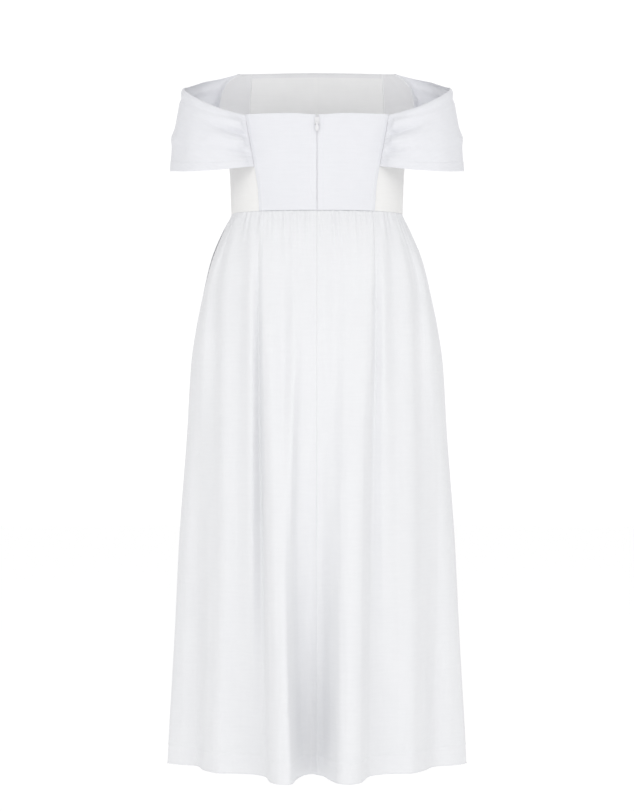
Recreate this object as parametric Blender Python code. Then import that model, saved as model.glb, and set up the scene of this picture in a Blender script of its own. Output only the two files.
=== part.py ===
"""An off-shoulder midi dress with a raised waist, held open as if worn.

Metres, +Z up. The wearer faces -Y and their left arm is at +X. The origin is on the body's axis at
the height of the raised waist seam, where the bodice closes round the ribs.
Each panel that would be cut and sewn is one closed wall of cloth.
"""

import math
from collections import namedtuple

import bmesh
import bpy
import numpy as np

# Driving sizes
CLOTH = 0.0015
SEAM_GAP = 0.0003
HALF_GAP_TURN = 0.0012
LINING = 0.0010
LINING_GAP = 0.0006
BACK_NECK_HEIGHT = 0.1510
BACK_NECK_RISE, BACK_NECK_DIP_HALF_WIDTH = 0.0025, 0.045
FRONT_NECK_HEIGHT, FRONT_NECK_DROP, FRONT_NECK_HALF_WIDTH = 0.2460, 0.0059, 0.133
FRONT_PANEL_TOP_X, ARMHOLE_TOP_X = 0.108, 0.1285
UNDERARM_HEIGHT, UNDERARM_RISE, UNDERARM_CURVE = 0.1120, 0.034, 1.6
SKIRT_LENGTH = 0.8870
LINING_BELOW_NECK = 0.0075
ZIP_HALF_GAP = 0.0005
ZIP_OPEN_HALF_GAP = 0.0017
ZIP_TAPE_WIDTH = 0.0220
ZIP_TAPE_BELOW_NECK = 0.0020
SLEEVE_SEAM_SHARE, SLEEVE_FOLD_START = 0.08, 0.05
SMALL_SHARE = 0.002

# Gathers under the waist seam: how many in one half, how deep, and how soon they fade below it
GATHERS_IN_HALF = 28
GATHER_DEPTH, GATHER_REACH, GATHER_START = 0.0021, 0.055, 0.010
FINE = 24

FRONT, BACK = -1, 1
LEFT, RIGHT = 1, -1

# The torso: a rounded ring at each height above the waist seam
Section = namedtuple("Section", "height half_width front_depth back_depth squareness")
TORSO = (
    Section(0.000, 0.1385, 0.098, 0.096, 2.4),
    Section(0.045, 0.1400, 0.116, 0.097, 2.4),
    Section(0.090, 0.1430, 0.126, 0.098, 2.4),
    Section(0.120, 0.1470, 0.124, 0.098, 2.4),
    Section(0.150, 0.1600, 0.118, 0.097, 2.4),
    Section(0.190, 0.1760, 0.110, 0.096, 2.4),
    Section(0.250, 0.1760, 0.104, 0.095, 2.4),
)

# The skirt's mean ring, before its folds
SKIRT = (
    Section(-0.887, 0.2417, 0.150, 0.150, 2.0),
    Section(-0.850, 0.2398, 0.152, 0.150, 2.0),
    Section(-0.680, 0.2300, 0.158, 0.155, 2.0),
    Section(-0.518, 0.2220, 0.160, 0.158, 2.0),
    Section(-0.356, 0.2098, 0.158, 0.157, 2.1),
    Section(-0.242, 0.2030, 0.153, 0.152, 2.1),
    Section(-0.186, 0.1950, 0.148, 0.146, 2.2),
    Section(-0.132, 0.1840, 0.140, 0.137, 2.2),
    Section(-0.075, 0.1706, 0.128, 0.124, 2.3),
    Section(-0.027, 0.1518, 0.111, 0.108, 2.3),
    Section(0.000, 0.1385, 0.098, 0.096, 2.4),
)

# Seams of the bodice, as distance from the centre line at each height
SeamPoint = namedtuple("SeamPoint", "height x")
BACK_PRINCESS_SEAM = (
    SeamPoint(0.000, 0.0915),
    SeamPoint(0.035, 0.0935),
    SeamPoint(0.071, 0.0989),
    SeamPoint(0.121, 0.1080),
    SeamPoint(0.154, 0.1137),
)
FRONT_PRINCESS_SEAM = (
    SeamPoint(0.000, 0.0780),
    SeamPoint(0.090, 0.0940),
    SeamPoint(0.178, 0.1120),
    SeamPoint(0.246, 0.1080),
)

# The front armhole, as the turn in degrees from the wearer's side towards the front
ArmholePoint = namedtuple("ArmholePoint", "height turn")
FRONT_ARMHOLE = (
    ArmholePoint(0.1120, 0.0),
    ArmholePoint(0.1200, 6.0),
    ArmholePoint(0.1300, 11.5),
    ArmholePoint(0.1500, 19.5),
    ArmholePoint(0.1750, 25.5),
    ArmholePoint(0.2000, 28.5),
    ArmholePoint(0.2150, 32.0),
    ArmholePoint(0.2290, 38.5),
    ArmholePoint(0.2405, 46.5),
)

# The left sleeve between its back and front seams: its top edge, its hem, and how far it bellies out
Station = namedtuple("Station", "share top_x top_y top_z hem_x hem_y hem_z belly")
SLEEVE = (
    Station(0.10, 0.134, 0.082, 0.157, 0.126, 0.097, 0.0665, 0.004),
    Station(0.23, 0.160, 0.080, 0.165, 0.160, 0.105, 0.0620, 0.005),
    Station(0.36, 0.187, 0.064, 0.179, 0.198, 0.095, 0.0610, 0.005),
    Station(0.48, 0.208, 0.036, 0.194, 0.227, 0.058, 0.0650, 0.004),
    Station(0.57, 0.215, 0.004, 0.205, 0.236, 0.014, 0.0700, 0.003),
    Station(0.67, 0.208, -0.034, 0.213, 0.230, -0.030, 0.0790, 0.004),
    Station(0.79, 0.188, -0.067, 0.225, 0.209, -0.064, 0.0910, 0.006),
    Station(0.90, 0.160, -0.081, 0.233, 0.180, -0.062, 0.1060, 0.005),
)
SLEEVE_BACK_TOP, SLEEVE_BACK_HEM = 0.1525, 0.0710
SLEEVE_FRONT_TOP, SLEEVE_FRONT_HEM = 0.2405, 0.12025

# Folds of the sleeve: a soft line from one place to another, raised where its relief is positive.
# Shares run from the back seam to the front seam, and from the top edge to the hem.
SleeveFold = namedtuple("SleeveFold", "from_share from_down to_share to_down relief width")
SLEEVE_FOLDS = (
    SleeveFold(0.00, 0.40, 0.40, 0.20, -0.0080, 0.060),
    SleeveFold(0.00, 0.71, 0.27, 0.59, -0.0050, 0.055),
    SleeveFold(0.00, 0.22, 0.42, 0.07, 0.0050, 0.090),
    SleeveFold(0.00, 0.55, 0.36, 0.42, 0.0045, 0.080),
    SleeveFold(0.00, 0.87, 0.24, 0.86, 0.0030, 0.070),
    SleeveFold(0.42, 0.60, 0.70, 0.60, 0.0038, 0.080),
    SleeveFold(1.00, 0.34, 0.76, 0.26, -0.0050, 0.060),
    SleeveFold(1.00, 0.62, 0.80, 0.55, -0.0040, 0.060),
    SleeveFold(1.00, 0.48, 0.78, 0.40, 0.0030, 0.070),
)

# Folds of the skirt, from the wearer's left side to their right: where each line lies across the
# dress at four heights, and how far it stands out of the mean ring at the lower three
FOLD_HEIGHTS = (-0.887, -0.480, -0.140, 0.000)
SkirtFold = namedtuple(
    "SkirtFold", "waist_x hip_x knee_x hem_x hip_relief knee_relief hem_relief"
)
BACK_FOLDS = (
    SkirtFold(0.1365, 0.1830, 0.2080, 0.2220, -0.002, -0.018, -0.042),
    SkirtFold(0.1335, 0.1760, 0.1900, 0.1935, 0.000, -0.030, -0.059),
    SkirtFold(0.1290, 0.1620, 0.1665, 0.1780, -0.014, -0.018, -0.025),
    SkirtFold(0.1200, 0.1480, 0.1480, 0.1570, -0.004, -0.006, -0.013),
    SkirtFold(0.1080, 0.1220, 0.1250, 0.1240, -0.006, -0.008, -0.022),
    SkirtFold(0.0970, 0.1030, 0.1020, 0.0980, 0.004, 0.000, -0.022),
    SkirtFold(0.0890, 0.0915, 0.0875, 0.0810, -0.007, -0.012, -0.006),
    SkirtFold(0.0830, 0.0840, 0.0780, 0.0700, 0.003, 0.022, 0.048),
    SkirtFold(0.0720, 0.0720, 0.0670, 0.0570, 0.005, 0.034, 0.061),
    SkirtFold(0.0540, 0.0520, 0.0520, 0.0420, -0.002, 0.034, 0.061),
    SkirtFold(0.0400, 0.0360, 0.0410, 0.0330, 0.004, 0.026, 0.020),
    SkirtFold(0.0260, 0.0220, 0.0300, 0.0200, 0.002, 0.004, -0.029),
    SkirtFold(0.0110, 0.0090, 0.0130, 0.0080, 0.000, -0.004, -0.041),
    SkirtFold(0.0000, 0.0000, 0.0000, 0.0000, 0.000, -0.002, -0.034),
    SkirtFold(-0.0100, -0.0120, -0.0100, -0.0090, 0.000, 0.001, -0.021),
    SkirtFold(-0.0240, -0.0290, -0.0240, -0.0220, -0.004, 0.012, 0.023),
    SkirtFold(-0.0400, -0.0450, -0.0380, -0.0340, 0.002, 0.026, 0.052),
    SkirtFold(-0.0560, -0.0600, -0.0530, -0.0500, 0.003, 0.032, 0.060),
    SkirtFold(-0.0730, -0.0750, -0.0690, -0.0660, 0.005, 0.028, 0.051),
    SkirtFold(-0.0830, -0.0835, -0.0770, -0.0730, 0.003, 0.012, 0.022),
    SkirtFold(-0.0890, -0.0915, -0.0870, -0.0830, -0.006, -0.008, -0.010),
    SkirtFold(-0.0980, -0.1040, -0.1040, -0.1040, 0.004, 0.000, -0.024),
    SkirtFold(-0.1080, -0.1200, -0.1250, -0.1260, -0.006, -0.004, -0.021),
    SkirtFold(-0.1190, -0.1450, -0.1500, -0.1500, -0.003, -0.006, -0.014),
    SkirtFold(-0.1270, -0.1610, -0.1660, -0.1700, -0.014, -0.020, -0.031),
    SkirtFold(-0.1335, -0.1750, -0.1900, -0.1900, 0.000, -0.030, -0.057),
    SkirtFold(-0.1365, -0.1830, -0.2080, -0.2170, -0.002, -0.018, -0.040),
)
CENTRE_BACK = 14
FRONT_FOLDS = (
    SkirtFold(0.1365, 0.1830, 0.2090, 0.2240, -0.002, -0.012, -0.030),
    SkirtFold(0.1320, 0.1720, 0.1900, 0.1980, 0.000, -0.020, -0.040),
    SkirtFold(0.1240, 0.1550, 0.1650, 0.1760, -0.010, -0.016, -0.030),
    SkirtFold(0.1130, 0.1380, 0.1460, 0.1520, 0.000, 0.000, -0.012),
    SkirtFold(0.1040, 0.1220, 0.1280, 0.1300, 0.002, 0.014, 0.030),
    SkirtFold(0.0940, 0.1080, 0.1100, 0.1100, 0.004, 0.022, 0.048),
    SkirtFold(0.0840, 0.0940, 0.0940, 0.0920, 0.000, 0.014, 0.036),
    SkirtFold(0.0740, 0.0800, 0.0780, 0.0740, -0.006, -0.004, -0.008),
    SkirtFold(0.0600, 0.0620, 0.0560, 0.0520, -0.002, -0.010, -0.026),
    SkirtFold(0.0440, 0.0420, 0.0360, 0.0300, 0.002, -0.002, -0.012),
    SkirtFold(0.0280, 0.0260, 0.0180, 0.0120, 0.003, 0.014, 0.028),
    SkirtFold(0.0120, 0.0080, 0.0000, -0.0060, 0.004, 0.024, 0.046),
    SkirtFold(-0.0060, -0.0100, -0.0180, -0.0260, 0.000, 0.018, 0.038),
    SkirtFold(-0.0220, -0.0260, -0.0360, -0.0440, -0.005, 0.000, -0.002),
    SkirtFold(-0.0400, -0.0460, -0.0560, -0.0660, -0.001, -0.012, -0.028),
    SkirtFold(-0.0580, -0.0660, -0.0780, -0.0880, 0.002, -0.006, -0.016),
    SkirtFold(-0.0760, -0.0880, -0.0980, -0.1080, 0.002, 0.010, 0.022),
    SkirtFold(-0.0920, -0.1080, -0.1180, -0.1280, 0.004, 0.020, 0.040),
    SkirtFold(-0.1040, -0.1260, -0.1360, -0.1460, 0.000, 0.012, 0.020),
    SkirtFold(-0.1160, -0.1450, -0.1560, -0.1660, -0.010, -0.012, -0.018),
    SkirtFold(-0.1270, -0.1650, -0.1800, -0.1880, -0.004, -0.016, -0.034),
    SkirtFold(-0.1355, -0.1820, -0.2070, -0.2160, -0.001, -0.012, -0.032),
)

# The zip's slider and its pull tab
SLIDER_TOP, SLIDER_LENGTH, SLIDER_WIDTH, SLIDER_THICKNESS = 0.1465, 0.0120, 0.0076, 0.0020
EAR_THICKNESS, EAR_INNER_HALF, EAR_HEIGHT = 0.0010, 0.0021, 0.0034
PIN_RADIUS, PIN_ABOVE_PLATE, PIN_ABOVE_END = 0.00055, 0.0022, 0.0020
KNUCKLE_RADIUS, KNUCKLE_HOLE, KNUCKLE_LENGTH = 0.0017, 0.00095, 0.0034
TAB_WIDTH, TAB_LENGTH, TAB_THICKNESS = 0.0058, 0.0120, 0.0012

# Colours, as linear red, green and blue
CLOTH_COLOUR = (0.83, 0.84, 0.87)
LINING_COLOUR = (0.72, 0.72, 0.73)
ZIP_COLOUR = (0.86, 0.86, 0.88)


def smooth_at(heights, values, at):
    """Reads a table at one or more heights along a curve that never overshoots its points."""
    heights, values = np.asarray(heights, float), np.asarray(values, float)
    steps = np.diff(heights)
    slopes = np.diff(values) / steps
    tangents = np.empty_like(values)
    tangents[0], tangents[-1] = slopes[0], slopes[-1]
    before, after = slopes[:-1], slopes[1:]
    turning = before * after <= 0
    mean = 2 * before * after / np.where(turning, 1, before + after)
    tangents[1:-1] = np.where(turning, 0, mean)
    at = np.clip(at, heights[0], heights[-1])
    i = np.clip(np.searchsorted(heights, at, side="right") - 1, 0, len(steps) - 1)
    t = (at - heights[i]) / steps[i]
    return (
        values[i] * (1 + 2 * t) * (1 - t) ** 2
        + values[i + 1] * t * t * (3 - 2 * t)
        + steps[i] * (tangents[i] * t * (1 - t) ** 2 + tangents[i + 1] * t * t * (t - 1))
    )


def column(rows, name):
    return [getattr(row, name) for row in rows]


def soft_step(t):
    t = np.clip(t, 0.0, 1.0)
    return t * t * (3 - 2 * t)


def ring_at(sections, height, side):
    """Half width, depth and squareness of the ring at a height."""
    heights = column(sections, "height")
    depth = "front_depth" if side == FRONT else "back_depth"
    return (
        smooth_at(heights, column(sections, "half_width"), height),
        smooth_at(heights, column(sections, depth), height),
        smooth_at(heights, column(sections, "squareness"), height),
    )


def ring_depth(x, half_width, depth, squareness):
    share = np.clip(np.abs(x) / half_width, 0, 1)
    return depth * (1 - share**squareness) ** (1 / squareness)


def torso_at_x(side, x, height, out):
    """The torso's ring at a distance from the centre line, moved out along its own normal."""
    half_width, depth, squareness = ring_at(TORSO, height, side)
    y = ring_depth(x, half_width, depth, squareness)
    across = (x / half_width) ** (squareness - 1) / half_width
    along = (y / depth) ** (squareness - 1) / depth
    length = math.hypot(across, along)
    return np.array([x + out * across / length, side * (y + out * along / length), height])


def torso_at_turn(side, turn, height, out):
    """The torso's ring at a turn from the wearer's side, in radians."""
    half_width, depth, squareness = ring_at(TORSO, height, side)
    x = half_width * math.cos(turn) ** (2 / squareness)
    y = depth * math.sin(turn) ** (2 / squareness)
    across = (x / half_width) ** (squareness - 1) / half_width
    along = (y / depth) ** (squareness - 1) / depth
    length = math.hypot(across, along)
    return np.array([x + out * across / length, side * (y + out * along / length), height])


def turn_at_x(side, x, height):
    half_width, _, squareness = ring_at(TORSO, height, side)
    return math.acos(min(1.0, x / half_width) ** (squareness / 2))


def side_seam_turn(side, height):
    """The small turn that leaves half a seam gap at the side."""
    _, depth, squareness = ring_at(TORSO, height, side)
    return math.asin((SEAM_GAP / 2 / depth) ** (squareness / 2))


def seam_x(seam, height):
    return float(smooth_at(column(seam, "height"), column(seam, "x"), height))


def armhole_turn(height):
    degrees = smooth_at(column(FRONT_ARMHOLE, "height"), column(FRONT_ARMHOLE, "turn"), height)
    return math.radians(float(degrees))


def back_neck(x):
    """The back neckline dips a little towards the zip."""
    return BACK_NECK_HEIGHT + BACK_NECK_RISE * float(soft_step(abs(x) / BACK_NECK_DIP_HALF_WIDTH))


def front_neck(x):
    return FRONT_NECK_HEIGHT - FRONT_NECK_DROP * (x / FRONT_NECK_HALF_WIDTH) ** 2


def zip_edge(height):
    """Half the gap between the back panels: closed below the slider, a little open above it."""
    opening = soft_step((height - SLIDER_TOP + SLIDER_LENGTH) / SLIDER_LENGTH)
    return ZIP_HALF_GAP + (ZIP_OPEN_HALF_GAP - ZIP_HALF_GAP) * float(opening)


def back_panel(across, up, out):
    """Centre back panel, from the zip to the princess seam, raised over the side panel's edge."""
    level = SEAM_GAP + CLOTH * out
    seam_top = seam_x(BACK_PRINCESS_SEAM, BACK_NECK_HEIGHT)
    height = SEAM_GAP / 2 + up * (back_neck(across * seam_top) - SEAM_GAP / 2)
    inner, outer = zip_edge(height), seam_x(BACK_PRINCESS_SEAM, height) - SEAM_GAP / 2
    return torso_at_x(BACK, inner + across * (outer - inner), height, level)


def side_back_panel(across, up, out):
    """From the back princess seam to the side seam, its top falling to the underarm."""
    level = CLOTH * (out - 1)
    top = UNDERARM_HEIGHT + UNDERARM_RISE * (1 - across) ** UNDERARM_CURVE
    height = SEAM_GAP / 2 + up * (top - SEAM_GAP / 2)
    start = turn_at_x(BACK, seam_x(BACK_PRINCESS_SEAM, height) + SEAM_GAP / 2, height)
    end = side_seam_turn(BACK, height)
    return torso_at_turn(BACK, start + across * (end - start), height, level)


def side_front_panel(across, up, out):
    """From the side seam and the armhole to the front princess seam, up to the neckline."""
    level = CLOTH * (out - 1)
    armhole_top = front_neck(ARMHOLE_TOP_X)
    top = armhole_top + across * (front_neck(FRONT_PANEL_TOP_X) - armhole_top)
    height = SEAM_GAP / 2 + up * (top - SEAM_GAP / 2)
    start = max(side_seam_turn(FRONT, height), armhole_turn(height) + HALF_GAP_TURN)
    end = turn_at_x(FRONT, seam_x(FRONT_PRINCESS_SEAM, height) + SEAM_GAP / 2, height)
    return torso_at_turn(FRONT, start + across * (end - start), height, level)


def front_point(across, height, level, margin):
    edge = seam_x(FRONT_PRINCESS_SEAM, height) - margin
    x = edge * (1 - 2 * across)
    point = torso_at_x(FRONT, abs(x), height, level)
    return np.array([math.copysign(point[0], x), point[1], point[2]])


def front_panel(across, up, out):
    """Centre front panel between the two front princess seams."""
    top = front_neck(FRONT_PANEL_TOP_X * (1 - 2 * across))
    height = SEAM_GAP / 2 + up * (top - SEAM_GAP / 2)
    return front_point(across, height, CLOTH * (out - 1), SEAM_GAP / 2)


def lining_panel(across, up, out):
    """The lining behind the centre front, which stops just below the neckline."""
    top = front_neck(FRONT_PANEL_TOP_X * (1 - 2 * across)) - LINING_BELOW_NECK
    height = SEAM_GAP / 2 + up * (top - SEAM_GAP / 2)
    return front_point(across, height, LINING * (out - 1) - CLOTH - LINING_GAP, SEAM_GAP / 2)


def zip_tape(across, up, out):
    """The tape behind the two edges of the zip."""
    height = SEAM_GAP / 2 + up * (BACK_NECK_HEIGHT - ZIP_TAPE_BELOW_NECK)
    x = ZIP_TAPE_WIDTH * (across - 0.5)
    point = torso_at_x(BACK, abs(x), height, LINING * (out - 1))
    return np.array([math.copysign(point[0], x), point[1], point[2]])


def through(points, shares, at):
    """A smooth curve through points given at uneven shares."""
    i = int(np.clip(np.searchsorted(shares, at, side="right") - 1, 0, len(shares) - 2))
    t = (at - shares[i]) / (shares[i + 1] - shares[i])

    def tangent(k):
        low, high = max(k - 1, 0), min(k + 1, len(shares) - 1)
        return (points[high] - points[low]) / (shares[high] - shares[low])

    span = shares[i + 1] - shares[i]
    return (
        points[i] * (1 + 2 * t) * (1 - t) ** 2
        + points[i + 1] * t * t * (3 - 2 * t)
        + span * (tangent(i) * t * (1 - t) ** 2 + tangent(i + 1) * t * t * (t - 1))
    )


def sleeve_back_edge(down, out):
    height = SLEEVE_BACK_TOP + down * (SLEEVE_BACK_HEM - SLEEVE_BACK_TOP)
    x = seam_x(BACK_PRINCESS_SEAM, height) + SEAM_GAP / 2
    return torso_at_x(BACK, x, height, out)


def sleeve_front_edge(down, out):
    height = SLEEVE_FRONT_TOP + down * (SLEEVE_FRONT_HEM - SLEEVE_FRONT_TOP)
    return torso_at_turn(FRONT, armhole_turn(height) - HALF_GAP_TURN, height, out)


def sleeve_surface(share, down):
    """The sleeve's plain form, with no folds: a band round the arm between its two seams."""
    points, shares = [sleeve_back_edge(down, SEAM_GAP)], [0.0]
    for row in SLEEVE:
        top = np.array([row.top_x, row.top_y, row.top_z])
        hem = np.array([row.hem_x, row.hem_y, row.hem_z])
        away = np.array([row.top_x - 0.13, row.top_y, 0.0])
        belly = row.belly * math.sin(math.pi * down) * away / np.linalg.norm(away)
        points.append(top + down * (hem - top) + belly)
        shares.append(row.share)
    points.append(sleeve_front_edge(down, -CLOTH))
    shares.append(1.0)
    return through(points, shares, share)


def sleeve_relief(share, down):
    """How far the sleeve's folds stand out at a place."""
    total = 0.0
    for fold in SLEEVE_FOLDS:
        run = fold.to_share - fold.from_share
        along = (share - fold.from_share) / run
        held = min(max(along, 0.0), 1.0)
        line = fold.from_down + held * (fold.to_down - fold.from_down)
        from_seam = fold.from_share in (0.0, 1.0)
        fade = float(1 - soft_step(along)) if from_seam else math.sin(math.pi * held)
        total += fold.relief * fade * math.exp(-(((down - line) / fold.width) ** 2))
    seam_share = min(share, 1 - share)
    return total * float(soft_step(seam_share / SLEEVE_FOLD_START))


def sleeve_panel(share, down, out):
    """The sleeve's wall: its plain form moved out along its normal, with its folds."""
    a, b = max(share - SMALL_SHARE, 0.0), min(share + SMALL_SHARE, 1.0)
    c, d = max(down - SMALL_SHARE, 0.0), min(down + SMALL_SHARE, 1.0)
    across = sleeve_surface(b, down) - sleeve_surface(a, down)
    along = sleeve_surface(share, d) - sleeve_surface(share, c)
    normal = np.cross(across, along)
    normal /= np.linalg.norm(normal)
    back_normal = sleeve_back_edge(down, 1.0) - sleeve_back_edge(down, 0.0)
    front_normal = sleeve_front_edge(down, 1.0) - sleeve_front_edge(down, 0.0)
    to_back = soft_step(share / SLEEVE_SEAM_SHARE)
    to_front = soft_step((1 - share) / SLEEVE_SEAM_SHARE)
    normal = back_normal + (normal - back_normal) * to_back
    normal = front_normal + (normal - front_normal) * to_front
    normal /= np.linalg.norm(normal)
    return sleeve_surface(share, down) + normal * (sleeve_relief(share, down) + CLOTH * out)


def fold_line(fold, names, height):
    """One column of a fold's row, read at a height."""
    values = [0.0 if name is None else getattr(fold, name) for name in names]
    return float(smooth_at(FOLD_HEIGHTS, values, height))


def skirt_guides(side, height):
    """The fold lines' points at a height, from the wearer's left side to their right."""
    half_width, depth, squareness = ring_at(SKIRT, height, side)
    guides = [(half_width, 0.0)]
    for fold in BACK_FOLDS if side == BACK else FRONT_FOLDS:
        x = fold_line(fold, ("hem_x", "knee_x", "hip_x", "waist_x"), height)
        relief = fold_line(fold, ("hem_relief", "knee_relief", "hip_relief", None), height)
        guides.append((x, ring_depth(x, half_width, depth, squareness) + relief))
    guides.append((-half_width, 0.0))
    return np.array(guides) * (1, side)


def skirt_section(side, height):
    """A fine line round one half of the skirt at a height: FINE points from each fold to the next."""
    guides = skirt_guides(side, height)
    beyond = skirt_guides(-side, height)
    guides = np.vstack([beyond[1], guides, beyond[-2]])
    chords = np.linalg.norm(np.diff(guides, axis=0), axis=1)
    knots = np.concatenate([[0], np.cumsum(chords**0.5)])
    line = []
    for i in range(1, len(guides) - 2):
        last = i == len(guides) - 3
        k, p = knots[i - 1 : i + 3], guides[i - 1 : i + 3]
        t = np.linspace(k[1], k[2], FINE + last, endpoint=last)[:, None]
        first = [(k[j + 1] - t) * p[j] + (t - k[j]) * p[j + 1] for j in range(3)]
        first = [first[j] / (k[j + 1] - k[j]) for j in range(3)]
        second = [(k[j + 2] - t) * first[j] + (t - k[j]) * first[j + 1] for j in range(2)]
        second = [second[j] / (k[j + 2] - k[j]) for j in range(2)]
        line.append(((k[2] - t) * second[0] + (t - k[1]) * second[1]) / (k[2] - k[1]))
    return np.vstack(line)


def cloth_shares(side):
    """The share of a half's cloth that lies before each fold line, the same from waist to hem."""
    shares = []
    for height in FOLD_HEIGHTS:
        line = skirt_section(side, height)
        lengths = np.linalg.norm(np.diff(line, axis=0), axis=1)
        travelled = np.concatenate([[0], np.cumsum(lengths)])[::FINE]
        shares.append(travelled / travelled[-1])
    return np.mean(shares, axis=0)


def gather(share, height):
    """Relief of the small gathers under the waist seam, at a share of one half of the cloth."""
    turn = math.tau * share
    uneven = 0.25 * math.sin(3 * turn + 1.0) + 0.15 * math.sin(7 * turn)
    wave = math.sin(GATHERS_IN_HALF * turn + math.tau * uneven)
    size = 0.75 + 0.25 * math.sin(5 * turn + 0.6)
    below = -height
    fade = (0.45 + 0.55 * float(soft_step(below / GATHER_START))) * math.exp(-below / GATHER_REACH)
    return GATHER_DEPTH * size * fade * (1 + wave)


def skirt_panel(side, from_fold, to_fold):
    """A skirt panel of one half of the skirt, from one of its fold lines to another."""
    shares = cloth_shares(side)
    sections = {}

    def place(across, height, out):
        if height not in sections:
            line = skirt_section(side, height)
            tangents = np.gradient(line, axis=0)
            tangents /= np.linalg.norm(tangents, axis=1)[:, None]
            length = np.linalg.norm(np.diff(line, axis=0), axis=1).sum()
            sections[height] = line, tangents, SEAM_GAP / 2 / length
        line, tangents, margin = sections[height]
        start, end = shares[from_fold] + margin, shares[to_fold] - margin
        share = start + across * (end - start)
        at = FINE * np.interp(share, shares, range(len(shares)))
        x, y = (np.interp(at, range(len(line)), line[:, k]) for k in (0, 1))
        tx, ty = (np.interp(at, range(len(line)), tangents[:, k]) for k in (0, 1))
        normal = np.array([ty, -tx]) * -side
        normal /= np.linalg.norm(normal)
        relief = gather(share, height) + CLOTH * (out - 1)
        return np.array([x + normal[0] * relief, y + normal[1] * relief, height])

    return place


# Rows of the skirt's grid, as distances below the waist seam, the first ones twice as fine across
SKIRT_ROWS = (
    SEAM_GAP / 2, 0.006, 0.016, 0.036, 0.075, 0.130, 0.200, 0.300, 0.420, 0.560, 0.720, SKIRT_LENGTH
)
FINE_SKIRT_ROWS = 3

# Rows of each panel's grid, as shares of its height. Panels that meet share their rows.
FRONT_ROWS = (0.0, 0.17, 0.34, 0.46) + tuple(0.5 + k / 24 for k in range(13))
BACK_ROWS = tuple(k / 10 for k in range(11))
SLEEVE_ROWS = tuple(k / 12 for k in range(13))


def slab(columns, rows, fine_rows=0):
    """A thin slab over the unit square: a grid, its first rows split finer across, then extruded."""
    work = bmesh.new()
    bmesh.ops.create_grid(work, x_segments=columns, y_segments=rows, size=0.5)
    if fine_rows:
        limit = 0.5 - (fine_rows - 0.5) / rows
        across = [
            edge
            for edge in work.edges
            if abs(edge.verts[0].co.y - edge.verts[1].co.y) < 1e-6 and edge.verts[0].co.y > limit
        ]
        bmesh.ops.subdivide_edges(work, edges=across, cuts=1)
    made = bmesh.ops.extrude_face_region(work, geom=work.faces[:])
    for item in made["geom"]:
        if isinstance(item, bmesh.types.BMVert):
            item.co.z = 1.0
    return work


def face_outwards(work):
    work.normal_update()
    bmesh.ops.recalc_face_normals(work, faces=work.faces[:])
    return work


def add_object(name, work, material, collection):
    face_outwards(work)
    mesh = bpy.data.meshes.new(name)
    work.to_mesh(mesh)
    work.free()
    mesh.materials.append(material)
    mesh.shade_smooth()
    mesh.set_sharp_from_angle(angle=math.radians(50))
    made = bpy.data.objects.new(name, mesh)
    collection.objects.link(made)
    return made


def cloth_panel(name, columns, rows, place, hand, material, collection):
    """A panel of the bodice or a sleeve, mirrored for the wearer's right."""
    work = slab(columns, len(rows) - 1)
    for vertex in work.verts:
        across, out = vertex.co.x + 0.5, vertex.co.z
        up = rows[round((vertex.co.y + 0.5) * (len(rows) - 1))]
        vertex.co = place(across, up, out) * (hand, 1, 1)
    return add_object(name, work, material, collection)


def skirt_piece(name, columns, place, material, collection):
    """A skirt panel, with finer columns where the gathers are."""
    rows = len(SKIRT_ROWS) - 1
    work = slab(columns, rows, FINE_SKIRT_ROWS)
    for vertex in work.verts:
        row = round((0.5 - vertex.co.y) * rows)
        vertex.co = place(vertex.co.x + 0.5, -SKIRT_ROWS[row], vertex.co.z)
    return add_object(name, work, material, collection)


def cloth_material(name, colour, roughness, metallic=0.0):
    material = bpy.data.materials.new(name)
    material.use_nodes = True
    shader = material.node_tree.nodes["Principled BSDF"]
    shader.inputs["Base Color"].default_value = (*colour, 1.0)
    shader.inputs["Roughness"].default_value = roughness
    shader.inputs["Metallic"].default_value = metallic
    return material


def cylinder(radius, length, centre, segments):
    """A closed cylinder along X."""
    work = bmesh.new()
    bmesh.ops.create_cone(
        work, cap_ends=True, segments=segments, radius1=radius, radius2=radius, depth=length
    )
    for vertex in work.verts:
        x, y, z = vertex.co
        vertex.co = (z + centre[0], y + centre[1], x + centre[2])
    return face_outwards(work)


def block(size, centre, rounding):
    """A box with its edges rounded."""
    work = bmesh.new()
    bmesh.ops.create_cube(work, size=1.0)
    for vertex in work.verts:
        vertex.co = [centre[k] + size[k] * vertex.co[k] for k in range(3)]
    if rounding:
        bmesh.ops.bevel(
            work, geom=work.edges[:], offset=rounding, segments=2, affect="EDGES", profile=0.5
        )
    return face_outwards(work)


def join_to(body, name, work, operation, helpers):
    """Adds or cuts a helper shape with a Boolean modifier."""
    mesh = bpy.data.meshes.new(name)
    work.to_mesh(mesh)
    work.free()
    helper = bpy.data.objects.new(name, mesh)
    helpers.objects.link(helper)
    helper.hide_render = True
    helper.display_type = "WIRE"
    modifier = body.modifiers.new(name, "BOOLEAN")
    modifier.operation = operation
    modifier.object = helper


def slider_place():
    """The slider's plate centre and the pin's centre, just outside the back panels."""
    face = torso_at_x(BACK, 0.0, SLIDER_TOP - SLIDER_LENGTH / 2, 2 * SEAM_GAP + CLOTH)[1]
    middle = SLIDER_TOP - SLIDER_LENGTH / 2
    plate = (0.0, face + SLIDER_THICKNESS / 2, middle)
    pin = (0.0, face + SLIDER_THICKNESS + PIN_ABOVE_PLATE, SLIDER_TOP - SLIDER_LENGTH + PIN_ABOVE_END)
    return plate, pin


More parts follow.
